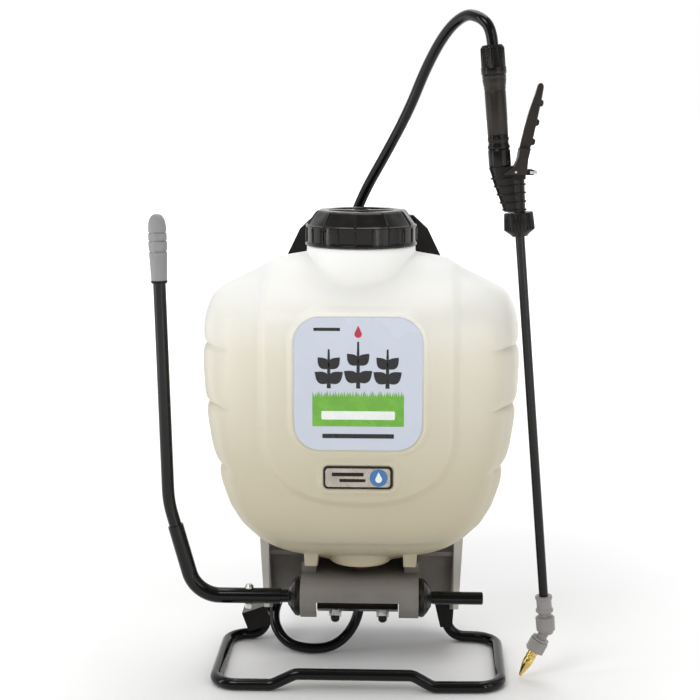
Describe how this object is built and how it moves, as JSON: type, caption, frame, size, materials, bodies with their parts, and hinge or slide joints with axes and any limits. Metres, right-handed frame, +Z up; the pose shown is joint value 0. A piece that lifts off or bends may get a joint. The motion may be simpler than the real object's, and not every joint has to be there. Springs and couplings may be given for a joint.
{
  "type": "backpack sprayer",
  "caption": "Backpack sprayer: blow-moulded tank on a tube stand with lever pump, screw cap, back frame with straps, hose, trigger handle, wand and brass nozzle.",
  "frame": {"origin": "middle of the footprint of the whole object, on the surface that the stand rests on", "axes": "+Z up, +Y towards the wearer's back, -Y towards the label side, +X to the right of somebody who faces the label"},
  "size_m": [0.447, 0.2527, 0.7291],
  "materials": {
    "tank_plastic": "blow-moulded translucent polyethylene, satin",
    "black_plastic": "moulded black plastic, fine grain",
    "grip_plastic": "dark grey handle sleeve",
    "base_plastic": "moulded grey plastic",
    "light_grey_plastic": "light grey plastic",
    "pump_plastic": "white pump mouldings",
    "black_paint": "gloss black enamel on steel tube",
    "zinc": "zinc-plated fasteners",
    "steel": "stainless steel",
    "brass": "turned brass",
    "seal_rubber": "dark red seal",
    "hose_rubber": "glossy black hose",
    "label": "printed film label with plain bars",
    "badge": "domed badge with plain bars and a disc",
    "pad_foam": "padded nylon",
    "webbing": "woven strap"
  },
  "bodies": {
    "root": {"tank_shell": "tank_plastic", "front_label": "label", "badge_plate": "badge", "pump_barrel": "pump_plastic", "inlet_tube": "pump_plastic", "pickup_screen": "pump_plastic", "valve_head": "pump_plastic", "pressure_chamber": "pump_plastic", "delivery_tube": "pump_plastic", "outlet_fitting": "brass", "outlet_nut": "black_plastic", "rod_gland": "seal_rubber", "shaft_bushing_left": "black_plastic", "shaft_bushing_right": "black_plastic", "base_cradle": "base_plastic", "base_screws": "zinc", "stand_tube": "black_paint", "strap_clips": "black_plastic", "back_frame": "black_plastic", "lumbar_pad": "pad_foam", "web_buckles": "black_plastic", "shoulder_pad_left": "pad_foam", "shoulder_pad_right": "pad_foam", "shoulder_web_left": "webbing", "shoulder_web_right": "webbing", "hose": "hose_rubber", "hose_nut": "black_plastic", "grip_top_collar": "grip_plastic", "grip_sleeve": "grip_plastic", "grip_lower_collar": "grip_plastic", "handle_nut": "black_plastic", "handle_filter": "steel", "valve_body": "black_plastic", "trigger_pin": "zinc", "wand_nut": "black_plastic", "wand_tube": "black_paint", "nozzle_collar": "light_grey_plastic", "swivel_nut": "light_grey_plastic"},
    "cap_seal": {"cap_gasket": "seal_rubber", "strainer_basket": "black_plastic"},
    "cap": {"filler_cap": "black_plastic", "cap_vent": "black_plastic"},
    "lever": {"pump_shaft": "black_paint", "shaft_yoke": "black_plastic", "crank_pin": "steel", "lever_bolts": "zinc", "lever_nuts": "zinc", "lever_lower_tube": "black_paint", "lever_upper_tube": "black_paint", "lever_grip": "light_grey_plastic"},
    "piston": {"piston_rod": "steel", "piston_cup": "seal_rubber"},
    "inlet_valve": {"inlet_ball": "steel"},
    "outlet_valve": {"outlet_ball": "steel"},
    "trigger_lever": {"trigger": "grip_plastic"},
    "stem": {"valve_stem": "steel"},
    "clip": {"lock_clip": "zinc"},
    "elbow": {"nozzle_elbow": "light_grey_plastic", "nozzle_nut": "light_grey_plastic"},
    "nozzle": {"brass_nozzle": "brass"}
  },
  "joints": [
    {"name": "cap_lift", "type": "slide", "parent": "root", "child": "cap_seal", "axis": [0, 0, 1], "range_m": [0, 0.09]},
    {"name": "cap_turn", "type": "hinge", "parent": "cap_seal", "child": "cap", "pos_m": [0.0063, -0.015, 0.49], "axis": [0, 0, 1], "continuous": true},
    {"name": "pump_lever", "type": "hinge", "parent": "root", "child": "lever", "pos_m": [0.0063, -0.055, 0.085], "axis": [1, 0, 0], "range_deg": [-42, 0]},
    {"name": "piston_stroke", "type": "slide", "parent": "root", "child": "piston", "axis": [0, 0, 1], "range_m": [-0.023, 0]},
    {"name": "inlet_lift", "type": "slide", "parent": "root", "child": "inlet_valve", "axis": [0, 0, 1], "range_m": [0, 0.003]},
    {"name": "outlet_lift", "type": "slide", "parent": "root", "child": "outlet_valve", "axis": [0, 0, 1], "range_m": [0, 0.003]},
    {"name": "trigger_squeeze", "type": "hinge", "parent": "root", "child": "trigger_lever", "pos_m": [0.1698, -0.075, 0.561], "axis": [0, -1, 0], "range_deg": [0, 14], "stiffness_Nm_per_rad": 0.8, "springref_deg": -8.59},
    {"name": "stem_lift", "type": "slide", "parent": "root", "child": "stem", "axis": [0, 0, 1], "range_m": [0, 0.0017]},
    {"name": "clip_swing", "type": "hinge", "parent": "root", "child": "clip", "pos_m": [0.1863, -0.075, 0.5605], "axis": [0, -1, 0], "range_deg": [0, 75]},
    {"name": "elbow_swivel", "type": "hinge", "parent": "root", "child": "elbow", "pos_m": [0.21333, -0.075, 0.057], "axis": [-0.0845, 0, 0.9964], "continuous": true},
    {"name": "nozzle_turn", "type": "hinge", "parent": "elbow", "child": "nozzle", "pos_m": [0.21333, -0.075, 0.057], "axis": [-0.454, 0, -0.891], "continuous": true}
  ],
  "couplings": [
    {"joint": "piston_stroke", "follows": "pump_lever", "m_per_rad": 0.031184},
    {"joint": "stem_lift", "follows": "trigger_squeeze", "m_per_rad": 0.0065}
  ]
}
